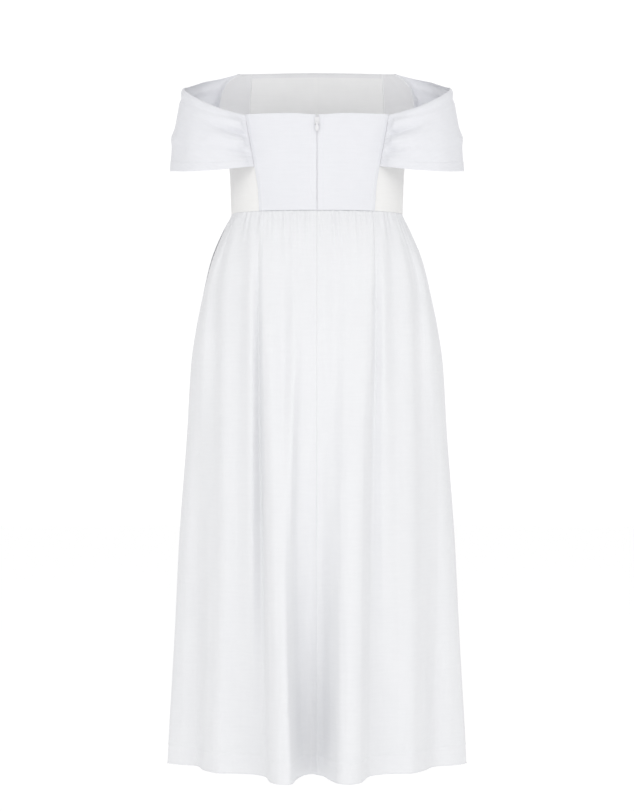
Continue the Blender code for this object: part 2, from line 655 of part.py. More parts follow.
def zip_slider(material, collection, helpers):
    """A plate with two ears that hold the pull tab's pin."""
    plate, pin = slider_place()
    size = (SLIDER_WIDTH, SLIDER_THICKNESS, SLIDER_LENGTH)
    body = add_object("zip_slider", block(size, plate, 0.0006), material, collection)
    ear_centre_y = plate[1] + SLIDER_THICKNESS / 4 + EAR_HEIGHT / 2
    for hand in (LEFT, RIGHT):
        x = hand * (EAR_INNER_HALF + EAR_THICKNESS / 2)
        ear_size = (EAR_THICKNESS, EAR_HEIGHT + SLIDER_THICKNESS / 2, 0.0030)
        ear = block(ear_size, (x, ear_centre_y, pin[2]), 0.0)
        join_to(body, f"ear_{'left' if hand == LEFT else 'right'}", ear, "UNION", helpers)
    pin_work = cylinder(PIN_RADIUS, 2 * EAR_INNER_HALF + EAR_THICKNESS, pin, 12)
    join_to(body, "pin", pin_work, "UNION", helpers)
    return body


def zip_pull(material, collection, helpers):
    """A teardrop tab with a knuckle round the slider's pin. Its origin is on the pin's axis."""
    _, pin = slider_place()
    work = bmesh.new()
    bmesh.ops.create_cone(
        work, cap_ends=True, segments=24, radius1=0.5, radius2=0.5, depth=TAB_THICKNESS
    )
    for vertex in work.verts:
        x, z, y = vertex.co
        down = 0.5 - z
        width = TAB_WIDTH * (0.62 + 0.38 * math.sin(math.pi * min(1.0, 0.15 + 0.75 * down)))
        vertex.co = (x * width, y, -KNUCKLE_RADIUS * 0.55 - TAB_LENGTH * down)
    body = add_object("zip_pull", work, material, collection)
    body.location = pin
    knuckle = cylinder(KNUCKLE_RADIUS, KNUCKLE_LENGTH, (0, 0, 0), 16)
    join_to(body, "knuckle", knuckle, "UNION", helpers)
    hole = cylinder(KNUCKLE_HOLE, 3 * KNUCKLE_LENGTH, (0, 0, 0), 12)
    join_to(body, "knuckle_hole", hole, "DIFFERENCE", helpers)
    for helper in ("knuckle", "knuckle_hole"):
        helpers.objects[helper].location = pin
    return body


def main():
    for old in list(bpy.data.objects):
        bpy.data.objects.remove(old)
    dress = bpy.data.collections.new("off_shoulder_dress")
    helpers = bpy.data.collections.new("cutters")
    bpy.context.scene.collection.children.link(dress)
    bpy.context.scene.collection.children.link(helpers)
    cloth = cloth_material("cloth", CLOTH_COLOUR, 0.85)
    lining = cloth_material("lining", LINING_COLOUR, 0.8)
    tape = cloth_material("zip_tape", ZIP_COLOUR, 0.8)
    metal = cloth_material("zip_metal", ZIP_COLOUR, 0.35)

    for hand, word in ((LEFT, "left"), (RIGHT, "right")):
        cloth_panel(f"bodice_back_{word}", 8, BACK_ROWS, back_panel, hand, cloth, dress)
        cloth_panel(f"bodice_side_back_{word}", 6, BACK_ROWS, side_back_panel, hand, cloth, dress)
        cloth_panel(f"bodice_side_front_{word}", 6, FRONT_ROWS, side_front_panel, hand, cloth, dress)
        cloth_panel(f"sleeve_{word}", 26, SLEEVE_ROWS, sleeve_panel, hand, cloth, dress)
    cloth_panel("bodice_front", 12, FRONT_ROWS, front_panel, LEFT, cloth, dress)
    cloth_panel("front_lining", 8, FRONT_ROWS, lining_panel, LEFT, lining, dress)
    cloth_panel("zip_tape", 4, BACK_ROWS, zip_tape, LEFT, tape, dress)

    columns = GATHERS_IN_HALF
    back_left = skirt_panel(BACK, 0, CENTRE_BACK)
    back_right = skirt_panel(BACK, CENTRE_BACK, len(BACK_FOLDS) + 1)
    skirt_piece("skirt_back_left", columns, back_left, cloth, dress)
    skirt_piece("skirt_back_right", columns, back_right, cloth, dress)
    front = skirt_panel(FRONT, 0, len(FRONT_FOLDS) + 1)
    skirt_piece("skirt_front", 2 * columns, front, cloth, dress)
    zip_slider(metal, dress, helpers)
    zip_pull(metal, dress, helpers)


main()
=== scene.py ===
import math
from collections import namedtuple

import bmesh
import bpy
import numpy as np
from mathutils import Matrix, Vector


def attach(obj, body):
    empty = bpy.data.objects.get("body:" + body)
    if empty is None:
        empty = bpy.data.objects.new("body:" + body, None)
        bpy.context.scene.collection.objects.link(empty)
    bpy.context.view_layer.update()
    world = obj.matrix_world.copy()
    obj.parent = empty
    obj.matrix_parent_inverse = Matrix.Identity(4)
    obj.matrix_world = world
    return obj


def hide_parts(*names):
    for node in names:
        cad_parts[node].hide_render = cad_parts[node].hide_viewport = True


# The dress in its finished cloth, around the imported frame. Metres, +Z up, the wearer faces -Y and
# their left arm is at +X. The origin is on the body's axis at the raised waist seam.
# The sizes and tables down to the skirt's folds are the part's own, so that each shell lies in
# the wall of its solid.
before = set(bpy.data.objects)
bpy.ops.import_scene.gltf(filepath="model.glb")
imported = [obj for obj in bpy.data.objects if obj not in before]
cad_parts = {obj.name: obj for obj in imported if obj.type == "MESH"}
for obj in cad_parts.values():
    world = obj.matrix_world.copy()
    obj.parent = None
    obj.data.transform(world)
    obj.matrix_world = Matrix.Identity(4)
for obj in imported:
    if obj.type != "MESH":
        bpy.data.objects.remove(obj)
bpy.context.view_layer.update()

CLOTH = 0.0015
SHELL = 0.0009
SEAM_GAP = 0.0003
HALF_GAP_TURN = 0.0012
LINING = 0.0010
LINING_GAP = 0.0006
BACK_NECK_HEIGHT = 0.1510
BACK_NECK_RISE = 0.0025
FRONT_NECK_HEIGHT = 0.2460
FRONT_NECK_DROP = 0.0059
UNDERARM_HEIGHT = 0.1120
SKIRT_LENGTH = 0.8870
LINING_BELOW_NECK = 0.0075
ZIP_HALF_GAP = 0.0005
ZIP_OPEN_HALF_GAP = 0.0017
ZIP_TAPE_WIDTH = 0.0220
SLIDER_TOP, SLIDER_LENGTH = 0.1465, 0.0120
GATHERS_IN_HALF = 28
FINE = 24

FRONT, BACK = -1, 1
LEFT, RIGHT = 1, -1

Section = namedtuple("Section", "height half_width front_depth back_depth squareness")
TORSO = (
    Section(0.000, 0.1385, 0.098, 0.096, 2.4),
    Section(0.045, 0.1400, 0.116, 0.097, 2.4),
    Section(0.090, 0.1430, 0.126, 0.098, 2.4),
    Section(0.120, 0.1470, 0.124, 0.098, 2.4),
    Section(0.150, 0.1600, 0.118, 0.097, 2.4),
    Section(0.190, 0.1760, 0.110, 0.096, 2.4),
    Section(0.250, 0.1760, 0.104, 0.095, 2.4),
)
SKIRT = (
    Section(-0.887, 0.2417, 0.150, 0.150, 2.0),
    Section(-0.850, 0.2398, 0.152, 0.150, 2.0),
    Section(-0.680, 0.2300, 0.158, 0.155, 2.0),
    Section(-0.518, 0.2220, 0.160, 0.158, 2.0),
    Section(-0.356, 0.2098, 0.158, 0.157, 2.1),
    Section(-0.242, 0.2030, 0.153, 0.152, 2.1),
    Section(-0.186, 0.1950, 0.148, 0.146, 2.2),
    Section(-0.132, 0.1840, 0.140, 0.137, 2.2),
    Section(-0.075, 0.1706, 0.128, 0.124, 2.3),
    Section(-0.027, 0.1518, 0.111, 0.108, 2.3),
    Section(0.000, 0.1385, 0.098, 0.096, 2.4),
)

SeamPoint = namedtuple("SeamPoint", "height x")
BACK_PRINCESS_SEAM = (
    SeamPoint(0.000, 0.0915),
    SeamPoint(0.035, 0.0935),
    SeamPoint(0.071, 0.0989),
    SeamPoint(0.121, 0.1080),
    SeamPoint(0.154, 0.1137),
)
FRONT_PRINCESS_SEAM = (
    SeamPoint(0.000, 0.0780),
    SeamPoint(0.090, 0.0940),
    SeamPoint(0.178, 0.1120),
    SeamPoint(0.246, 0.1080),
)
ArmholePoint = namedtuple("ArmholePoint", "height turn")
FRONT_ARMHOLE = (
    ArmholePoint(0.1120, 0.0),
    ArmholePoint(0.1200, 6.0),
    ArmholePoint(0.1300, 11.5),
    ArmholePoint(0.1500, 19.5),
    ArmholePoint(0.1750, 25.5),
    ArmholePoint(0.2000, 28.5),
    ArmholePoint(0.2150, 32.0),
    ArmholePoint(0.2290, 38.5),
    ArmholePoint(0.2405, 46.5),
)

Station = namedtuple("Station", "share top_x top_y top_z hem_x hem_y hem_z belly")
SLEEVE = (
    Station(0.10, 0.134, 0.082, 0.157, 0.126, 0.097, 0.0665, 0.004),
    Station(0.23, 0.160, 0.080, 0.165, 0.160, 0.105, 0.0620, 0.005),
    Station(0.36, 0.187, 0.064, 0.179, 0.198, 0.095, 0.0610, 0.005),
    Station(0.48, 0.208, 0.036, 0.194, 0.227, 0.058, 0.0650, 0.004),
    Station(0.57, 0.215, 0.004, 0.205, 0.236, 0.014, 0.0700, 0.003),
    Station(0.67, 0.208, -0.034, 0.213, 0.230, -0.030, 0.0790, 0.004),
    Station(0.79, 0.188, -0.067, 0.225, 0.209, -0.064, 0.0910, 0.006),
    Station(0.90, 0.160, -0.081, 0.233, 0.180, -0.062, 0.1060, 0.005),
)
SLEEVE_BACK_TOP, SLEEVE_BACK_HEM = 0.1525, 0.0710
SLEEVE_FRONT_TOP, SLEEVE_FRONT_HEM = 0.2405, 0.12025

SleeveFold = namedtuple("SleeveFold", "from_share from_down to_share to_down relief width")
SLEEVE_FOLDS = (
    SleeveFold(0.00, 0.40, 0.40, 0.20, -0.0080, 0.060),
    SleeveFold(0.00, 0.71, 0.27, 0.59, -0.0050, 0.055),
    SleeveFold(0.00, 0.22, 0.42, 0.07, 0.0050, 0.090),
    SleeveFold(0.00, 0.55, 0.36, 0.42, 0.0045, 0.080),
    SleeveFold(0.00, 0.87, 0.24, 0.86, 0.0030, 0.070),
    SleeveFold(0.42, 0.60, 0.70, 0.60, 0.0038, 0.080),
    SleeveFold(1.00, 0.34, 0.76, 0.26, -0.0050, 0.060),
    SleeveFold(1.00, 0.62, 0.80, 0.55, -0.0040, 0.060),
    SleeveFold(1.00, 0.48, 0.78, 0.40, 0.0030, 0.070),
)
# Finer creases that only the finished cloth has
SLEEVE_CREASES = (
    SleeveFold(0.00, 0.10, 0.16, 0.06, -0.0012, 0.018),
    SleeveFold(0.00, 0.30, 0.20, 0.20, -0.0014, 0.020),
    SleeveFold(0.00, 0.455, 0.12, 0.40, -0.0022, 0.020),
    SleeveFold(0.00, 0.52, 0.20, 0.455, -0.0012, 0.018),
    SleeveFold(0.00, 0.62, 0.14, 0.56, -0.0016, 0.020),
    SleeveFold(0.00, 0.80, 0.18, 0.76, -0.0014, 0.022),
    SleeveFold(0.00, 0.93, 0.12, 0.92, -0.0010, 0.018),
    SleeveFold(1.00, 0.14, 0.88, 0.12, -0.0012, 0.020),
    SleeveFold(1.00, 0.42, 0.86, 0.37, -0.0014, 0.020),
    SleeveFold(1.00, 0.74, 0.88, 0.68, -0.0014, 0.020),
    SleeveFold(1.00, 0.88, 0.90, 0.84, -0.0010, 0.020),
)

FOLD_HEIGHTS = (-0.887, -0.480, -0.140, 0.000)
SkirtFold = namedtuple(
    "SkirtFold", "waist_x hip_x knee_x hem_x hip_relief knee_relief hem_relief"
)
BACK_FOLDS = (
    SkirtFold(0.1365, 0.1830, 0.2080, 0.2220, -0.002, -0.018, -0.042),
    SkirtFold(0.1335, 0.1760, 0.1900, 0.1935, 0.000, -0.030, -0.059),
    SkirtFold(0.1290, 0.1620, 0.1665, 0.1780, -0.014, -0.018, -0.025),
    SkirtFold(0.1200, 0.1480, 0.1480, 0.1570, -0.004, -0.006, -0.013),
    SkirtFold(0.1080, 0.1220, 0.1250, 0.1240, -0.006, -0.008, -0.022),
    SkirtFold(0.0970, 0.1030, 0.1020, 0.0980, 0.004, 0.000, -0.022),
    SkirtFold(0.0890, 0.0915, 0.0875, 0.0810, -0.007, -0.012, -0.006),
    SkirtFold(0.0830, 0.0840, 0.0780, 0.0700, 0.003, 0.022, 0.048),
    SkirtFold(0.0720, 0.0720, 0.0670, 0.0570, 0.005, 0.034, 0.061),
    SkirtFold(0.0540, 0.0520, 0.0520, 0.0420, -0.002, 0.034, 0.061),
    SkirtFold(0.0400, 0.0360, 0.0410, 0.0330, 0.004, 0.026, 0.020),
    SkirtFold(0.0260, 0.0220, 0.0300, 0.0200, 0.002, 0.004, -0.029),
    SkirtFold(0.0110, 0.0090, 0.0130, 0.0080, 0.000, -0.004, -0.041),
    SkirtFold(0.0000, 0.0000, 0.0000, 0.0000, 0.000, -0.002, -0.034),
    SkirtFold(-0.0100, -0.0120, -0.0100, -0.0090, 0.000, 0.001, -0.021),
    SkirtFold(-0.0240, -0.0290, -0.0240, -0.0220, -0.004, 0.012, 0.023),
    SkirtFold(-0.0400, -0.0450, -0.0380, -0.0340, 0.002, 0.026, 0.052),
    SkirtFold(-0.0560, -0.0600, -0.0530, -0.0500, 0.003, 0.032, 0.060),
    SkirtFold(-0.0730, -0.0750, -0.0690, -0.0660, 0.005, 0.028, 0.051),
    SkirtFold(-0.0830, -0.0835, -0.0770, -0.0730, 0.003, 0.012, 0.022),
    SkirtFold(-0.0890, -0.0915, -0.0870, -0.0830, -0.006, -0.008, -0.010),
    SkirtFold(-0.0980, -0.1040, -0.1040, -0.1040, 0.004, 0.000, -0.024),
    SkirtFold(-0.1080, -0.1200, -0.1250, -0.1260, -0.006, -0.004, -0.021),
    SkirtFold(-0.1190, -0.1450, -0.1500, -0.1500, -0.003, -0.006, -0.014),
    SkirtFold(-0.1270, -0.1610, -0.1660, -0.1700, -0.014, -0.020, -0.031),
    SkirtFold(-0.1335, -0.1750, -0.1900, -0.1900, 0.000, -0.030, -0.057),
    SkirtFold(-0.1365, -0.1830, -0.2080, -0.2170, -0.002, -0.018, -0.040),
)
CENTRE_BACK = 14
FRONT_FOLDS = (
    SkirtFold(0.1365, 0.1830, 0.2090, 0.2240, -0.002, -0.012, -0.030),
    SkirtFold(0.1320, 0.1720, 0.1900, 0.1980, 0.000, -0.020, -0.040),
    SkirtFold(0.1240, 0.1550, 0.1650, 0.1760, -0.010, -0.016, -0.030),
    SkirtFold(0.1130, 0.1380, 0.1460, 0.1520, 0.000, 0.000, -0.012),
    SkirtFold(0.1040, 0.1220, 0.1280, 0.1300, 0.002, 0.014, 0.030),
    SkirtFold(0.0940, 0.1080, 0.1100, 0.1100, 0.004, 0.022, 0.048),
    SkirtFold(0.0840, 0.0940, 0.0940, 0.0920, 0.000, 0.014, 0.036),
    SkirtFold(0.0740, 0.0800, 0.0780, 0.0740, -0.006, -0.004, -0.008),
    SkirtFold(0.0600, 0.0620, 0.0560, 0.0520, -0.002, -0.010, -0.026),
    SkirtFold(0.0440, 0.0420, 0.0360, 0.0300, 0.002, -0.002, -0.012),
    SkirtFold(0.0280, 0.0260, 0.0180, 0.0120, 0.003, 0.014, 0.028),
    SkirtFold(0.0120, 0.0080, 0.0000, -0.0060, 0.004, 0.024, 0.046),
    SkirtFold(-0.0060, -0.0100, -0.0180, -0.0260, 0.000, 0.018, 0.038),
    SkirtFold(-0.0220, -0.0260, -0.0360, -0.0440, -0.005, 0.000, -0.002),
    SkirtFold(-0.0400, -0.0460, -0.0560, -0.0660, -0.001, -0.012, -0.028),
    SkirtFold(-0.0580, -0.0660, -0.0780, -0.0880, 0.002, -0.006, -0.016),
    SkirtFold(-0.0760, -0.0880, -0.0980, -0.1080, 0.002, 0.010, 0.022),
    SkirtFold(-0.0920, -0.1080, -0.1180, -0.1280, 0.004, 0.020, 0.040),
    SkirtFold(-0.1040, -0.1260, -0.1360, -0.1460, 0.000, 0.012, 0.020),
    SkirtFold(-0.1160, -0.1450, -0.1560, -0.1660, -0.010, -0.012, -0.018),
    SkirtFold(-0.1270, -0.1650, -0.1800, -0.1880, -0.004, -0.016, -0.034),
    SkirtFold(-0.1355, -0.1820, -0.2070, -0.2160, -0.001, -0.012, -0.032),
)

# The tucks of the gathered back under the waist seam, from the wearer's left to their right
Tuck = namedtuple("Tuck", "x depth reach width")
BACK_TUCKS = (
    Tuck(0.1250, 0.0034, 0.120, 0.0026),
    Tuck(0.1165, 0.0020, 0.030, 0.0016),
    Tuck(0.1100, 0.0024, 0.045, 0.0017),
    Tuck(0.1035, 0.0036, 0.085, 0.0022),
    Tuck(0.0960, 0.0018, 0.025, 0.0015),
    Tuck(0.0880, 0.0044, 0.160, 0.0025),
    Tuck(0.0830, 0.0018, 0.030, 0.0014),
    Tuck(0.0755, 0.0022, 0.035, 0.0018),
    Tuck(0.0685, 0.0026, 0.050, 0.0018),
    Tuck(0.0595, 0.0014, 0.022, 0.0015),
    Tuck(0.0510, 0.0040, 0.100, 0.0024),
    Tuck(0.0400, 0.0024, 0.050, 0.0018),
    Tuck(0.0300, 0.0014, 0.024, 0.0015),
    Tuck(0.0165, 0.0030, 0.060, 0.0020),
    Tuck(0.0095, 0.0016, 0.028, 0.0014),
    Tuck(-0.0080, 0.0020, 0.036, 0.0015),
    Tuck(-0.0150, 0.0014, 0.022, 0.0014),
    Tuck(-0.0255, 0.0036, 0.095, 0.0022),
    Tuck(-0.0365, 0.0022, 0.040, 0.0017),
    Tuck(-0.0460, 0.0026, 0.050, 0.0018),
    Tuck(-0.0525, 0.0018, 0.030, 0.0015),
    Tuck(-0.0590, 0.0030, 0.060, 0.0020),
    Tuck(-0.0670, 0.0020, 0.034, 0.0016),
    Tuck(-0.0760, 0.0016, 0.026, 0.0015),
    Tuck(-0.0855, 0.0044, 0.150, 0.0025),
    Tuck(-0.0905, 0.0022, 0.040, 0.0016),
    Tuck(-0.1035, 0.0034, 0.085, 0.0022),
    Tuck(-0.1105, 0.0022, 0.040, 0.0017),
    Tuck(-0.1170, 0.0020, 0.032, 0.0016),
    Tuck(-0.1240, 0.0034, 0.120, 0.0025),
)
FRONT_TUCKS = 30

WAIST_ROLL = (0.0003, 0.0012)
ALLOWANCE = 0.006
HEM_DEPTH = 0.031
SLEEVE_HEM_DOWN = 0.875


def smooth_at(heights, values, at):
    """Reads a table along a curve that never overshoots its points."""
    heights, values = np.asarray(heights, float), np.asarray(values, float)
    steps = np.diff(heights)
    slopes = np.diff(values) / steps
    tangents = np.empty_like(values)
    tangents[0], tangents[-1] = slopes[0], slopes[-1]
    before, after = slopes[:-1], slopes[1:]
    turning = before * after <= 0
    mean = 2 * before * after / np.where(turning, 1, before + after)
    tangents[1:-1] = np.where(turning, 0, mean)
    at = np.clip(at, heights[0], heights[-1])
    i = np.clip(np.searchsorted(heights, at, side="right") - 1, 0, len(steps) - 1)
    t = (at - heights[i]) / steps[i]
    return (
        values[i] * (1 + 2 * t) * (1 - t) ** 2
        + values[i + 1] * t * t * (3 - 2 * t)
        + steps[i] * (tangents[i] * t * (1 - t) ** 2 + tangents[i + 1] * t * t * (t - 1))
    )


def column(rows, name):
    return np.array([getattr(row, name) for row in rows])


def soft_step(t):
    t = np.clip(t, 0.0, 1.0)
    return t * t * (3 - 2 * t)


def bump_at(distance, width):
    """A soft ridge across its own middle."""
    return np.exp(-((distance / width) ** 2))


def ring_at(sections, height, side):
    heights = column(sections, "height")
    depth = "front_depth" if side == FRONT else "back_depth"
    names = ("half_width", depth, "squareness")
    return [smooth_at(heights, column(sections, name), height) for name in names]


def ring_depth(x, half_width, depth, squareness):
    share = np.clip(np.abs(x) / half_width, 0, 1)
    return depth * (1 - share**squareness) ** (1 / squareness)


def moved_out(side, x, y, ring, height, out):
    """A point of a ring, moved out along the ring's own normal."""
    half_width, depth, squareness = ring
    across = (x / half_width) ** (squareness - 1) / half_width
    along = (y / depth) ** (squareness - 1) / depth
    length = np.hypot(across, along)
    moved = (x + out * across / length, side * (y + out * along / length), height)
    return np.stack(np.broadcast_arrays(*moved), axis=-1)


def torso_at_x(side, x, height, out):
    ring = ring_at(TORSO, height, side)
    return moved_out(side, x, ring_depth(x, *ring), ring, height, out)


def torso_at_turn(side, turn, height, out):
    ring = ring_at(TORSO, height, side)
    half_width, depth, squareness = ring
    x = half_width * np.cos(turn) ** (2 / squareness)
    y = depth * np.sin(turn) ** (2 / squareness)
    return moved_out(side, x, y, ring, height, out)


def turn_at_x(side, x, height):
    half_width, _, squareness = ring_at(TORSO, height, side)
    return np.arccos(np.minimum(1.0, x / half_width) ** (squareness / 2))


def side_seam_turn(side, height):
    _, depth, squareness = ring_at(TORSO, height, side)
    return np.arcsin((SEAM_GAP / 2 / depth) ** (squareness / 2))


def seam_x(seam, height):
    return smooth_at(column(seam, "height"), column(seam, "x"), height)


def armhole_turn(height):
    heights, turns = column(FRONT_ARMHOLE, "height"), column(FRONT_ARMHOLE, "turn")
    return np.radians(smooth_at(heights, turns, height))


def back_neck(x):
    return BACK_NECK_HEIGHT + BACK_NECK_RISE * soft_step(np.abs(x) / 0.045)


def front_neck(x):
    return FRONT_NECK_HEIGHT - FRONT_NECK_DROP * (x / 0.133) ** 2


def zip_edge(height):
    opening = soft_step((height - SLIDER_TOP + SLIDER_LENGTH) / SLIDER_LENGTH)
    return ZIP_HALF_GAP + (ZIP_OPEN_HALF_GAP - ZIP_HALF_GAP) * opening


def edge_roll(distance, drop=0.0008, reach=0.0016):
    """How far a sewn edge turns inwards, by distance from the edge."""
    return -drop * (1 - soft_step(distance / reach)) ** 2


def ripple(a, b, seed):
    """The slight unevenness of cloth that has been worn and pressed, in soft waves of no one size."""
    total = 0.0
    for k in range(5):
        turn = 2.39996 * (seed + k)
        pitch = 0.050 / (1 + 0.55 * k)
        along = (a * math.cos(turn) + b * math.sin(turn)) * math.tau / pitch
        total = total + np.sin(along + 1.7 * seed + 2.1 * k) / (1 + 0.7 * k)
    return total / 2.2


def back_panel(across, up):
    """Centre back: a pressed edge along the zip and a ridge beside the princess seam."""
    seam_top = seam_x(BACK_PRINCESS_SEAM, BACK_NECK_HEIGHT)
    top = back_neck(across * seam_top)
    height = SEAM_GAP / 2 + up * (top - SEAM_GAP / 2)
    inner, outer = zip_edge(height), seam_x(BACK_PRINCESS_SEAM, height) - SEAM_GAP / 2
    x = inner + across * (outer - inner)
    level = SEAM_GAP + CLOTH + edge_roll(outer - x) + edge_roll(x - inner, 0.0010, 0.0022)
    level = level + edge_roll(top - height, 0.0007, 0.0018) + edge_roll(height, *WAIST_ROLL)
    level = level + 0.00045 * bump_at(outer - x - 0.0050, 0.0012)
    level = level - 0.00030 * bump_at(outer - x - 0.0026, 0.0009)
    level = level - 0.00025 * bump_at(x - inner - 0.0085, 0.0012)
    level = level - 0.00022 * bump_at(top - height - 0.0065, 0.0010)
    inside = soft_step((outer - x) / 0.02) * soft_step((x - inner) / 0.02)
    level = level + 0.00035 * ripple(x, height, 1) * inside
    return torso_at_x(BACK, x, height, level)


def side_back_panel(across, up):
    top = UNDERARM_HEIGHT + 0.034 * (1 - across) ** 1.6
    height = SEAM_GAP / 2 + up * (top - SEAM_GAP / 2)
    start = turn_at_x(BACK, seam_x(BACK_PRINCESS_SEAM, height) - ALLOWANCE, height)
    end = side_seam_turn(BACK, height)
    level = edge_roll(height, *WAIST_ROLL) + edge_roll(top - height, 0.0006, 0.0018)
    level = level + edge_roll((1 - across) * 0.055, 0.0004, 0.0012)
    level = level + 0.00030 * ripple(across * 0.055, height, 4) * soft_step(up / 0.1)
    return torso_at_turn(BACK, start + across * (end - start), height, level)


def side_front_panel(across, up):
    top = front_neck(0.1285) + across * (front_neck(0.108) - front_neck(0.1285))
    height = SEAM_GAP / 2 + up * (top - SEAM_GAP / 2)
    start = np.maximum(side_seam_turn(FRONT, height), armhole_turn(height) + HALF_GAP_TURN)
    end = turn_at_x(FRONT, seam_x(FRONT_PRINCESS_SEAM, height) + SEAM_GAP / 2, height)
    width = (end - start) * 0.12
    level = edge_roll(across * width, 0.0004, 0.0012) + edge_roll(height, *WAIST_ROLL)
    level = level + edge_roll((1 - across) * width, 0.0005, 0.0014)
    level = level + edge_roll(top - height, 0.0007, 0.0018)
    level = level - 0.00022 * bump_at(top - height - 0.0065, 0.0010)
    level = level + 0.00030 * ripple(across * 0.07, height, 7) * soft_step(up / 0.1)
    return torso_at_turn(FRONT, start + across * (end - start), height, level)


def front_point(across, height, level):
    edge = seam_x(FRONT_PRINCESS_SEAM, height) - SEAM_GAP / 2
    x = edge * (1 - 2 * across)
    points = torso_at_x(FRONT, np.abs(x), height, level)
    points[..., 0] = np.copysign(points[..., 0], x)
    return points


def front_panel(across, up):
    """Centre front, drawn in a little beside its seams and at the neck's turned edge."""
    top = front_neck(0.108 * (1 - 2 * across))
    height = SEAM_GAP / 2 + up * (top - SEAM_GAP / 2)
    width = 2 * seam_x(FRONT_PRINCESS_SEAM, height)
    near = np.minimum(across, 1 - across) * width
    level = edge_roll(near, 0.0004, 0.0012) + edge_roll(height, *WAIST_ROLL)
    level = level + edge_roll(top - height, 0.0007, 0.0018)
    level = level - 0.00022 * bump_at(top - height - 0.0065, 0.0010)
    level = level + 0.00030 * bump_at(near - 0.0048, 0.0012)
    level = level + 0.00035 * ripple(across * 0.2, height, 10) * soft_step(near / 0.02)
    return front_point(across, height, level)


def lining_panel(across, up):
    """The lining behind the centre front, with a seam down its middle."""
    top = front_neck(0.108 * (1 - 2 * across)) - LINING_BELOW_NECK
    height = SEAM_GAP / 2 + up * (top - SEAM_GAP / 2)
    level = -CLOTH - LINING_GAP + 0.0 * across
    seam = 0.00035 * bump_at((across - 0.5) * 0.2, 0.0011)
    wave = 0.00045 * ripple(across * 0.2, height * 0.7, 13) * soft_step((1 - up) / 0.08)
    return front_point(across, height, level + seam + wave - 0.0003)


def zip_tape(across, up):
    height = SEAM_GAP / 2 + up * (BACK_NECK_HEIGHT - 0.002)
    x = ZIP_TAPE_WIDTH * (across - 0.5)
    points = torso_at_x(BACK, np.abs(x), height, 0.0 * x)
    points[..., 0] = np.copysign(points[..., 0], x)
    return points


def sleeve_back_edge(down, out):
    height = SLEEVE_BACK_TOP + down * (SLEEVE_BACK_HEM - SLEEVE_BACK_TOP)
    x = seam_x(BACK_PRINCESS_SEAM, height) + SEAM_GAP / 2
    return torso_at_x(BACK, x, height, out)


def sleeve_front_edge(down, out):
    height = SLEEVE_FRONT_TOP + down * (SLEEVE_FRONT_HEM - SLEEVE_FRONT_TOP)
    return torso_at_turn(FRONT, armhole_turn(height) - HALF_GAP_TURN, height, out)


def sleeve_surface(share, down):
    """The sleeve's plain form: a band round the arm between its two seams."""
    points, shares = [sleeve_back_edge(down, SEAM_GAP)], [0.0]
    for row in SLEEVE:
        top = np.array([row.top_x, row.top_y, row.top_z])
        hem = np.array([row.hem_x, row.hem_y, row.hem_z])
        away = np.array([row.top_x - 0.13, row.top_y, 0.0])
        away *= row.belly / np.linalg.norm(away)
        points.append(top + down[:, None] * (hem - top) + np.sin(math.pi * down)[:, None] * away)
        shares.append(row.share)
    points.append(sleeve_front_edge(down, -CLOTH))
    shares.append(1.0)
    points, shares = np.array(points), np.array(shares)
    last = len(shares) - 1
    low = np.maximum(np.arange(last + 1) - 1, 0)
    high = np.minimum(np.arange(last + 1) + 1, last)
    tangents = (points[high] - points[low]) / (shares[high] - shares[low])[:, None, None]
    i = np.clip(np.searchsorted(shares, share, side="right") - 1, 0, last - 1)
    span = shares[i + 1] - shares[i]
    t = ((share - shares[i]) / span)[:, None]
    row = np.arange(len(share))
    return (
        points[i, row] * (1 + 2 * t) * (1 - t) ** 2
        + points[i + 1, row] * t * t * (3 - 2 * t)
        + span[:, None]
        * (tangents[i, row] * t * (1 - t) ** 2 + tangents[i + 1, row] * t * t * (t - 1))
    )


def sleeve_relief(share, down, folds):
    total = np.zeros_like(share)
    for fold in folds:
        along = (share - fold.from_share) / (fold.to_share - fold.from_share)
        held = np.clip(along, 0, 1)
        line = fold.from_down + held * (fold.to_down - fold.from_down)
        at_seam = fold.from_share in (0.0, 1.0)
        fade = 1 - soft_step(along) if at_seam else np.sin(math.pi * held)
        total = total + fold.relief * fade * bump_at(down - line, fold.width)
    return total


def unit(vectors):
    return vectors / np.linalg.norm(vectors, axis=-1, keepdims=True)


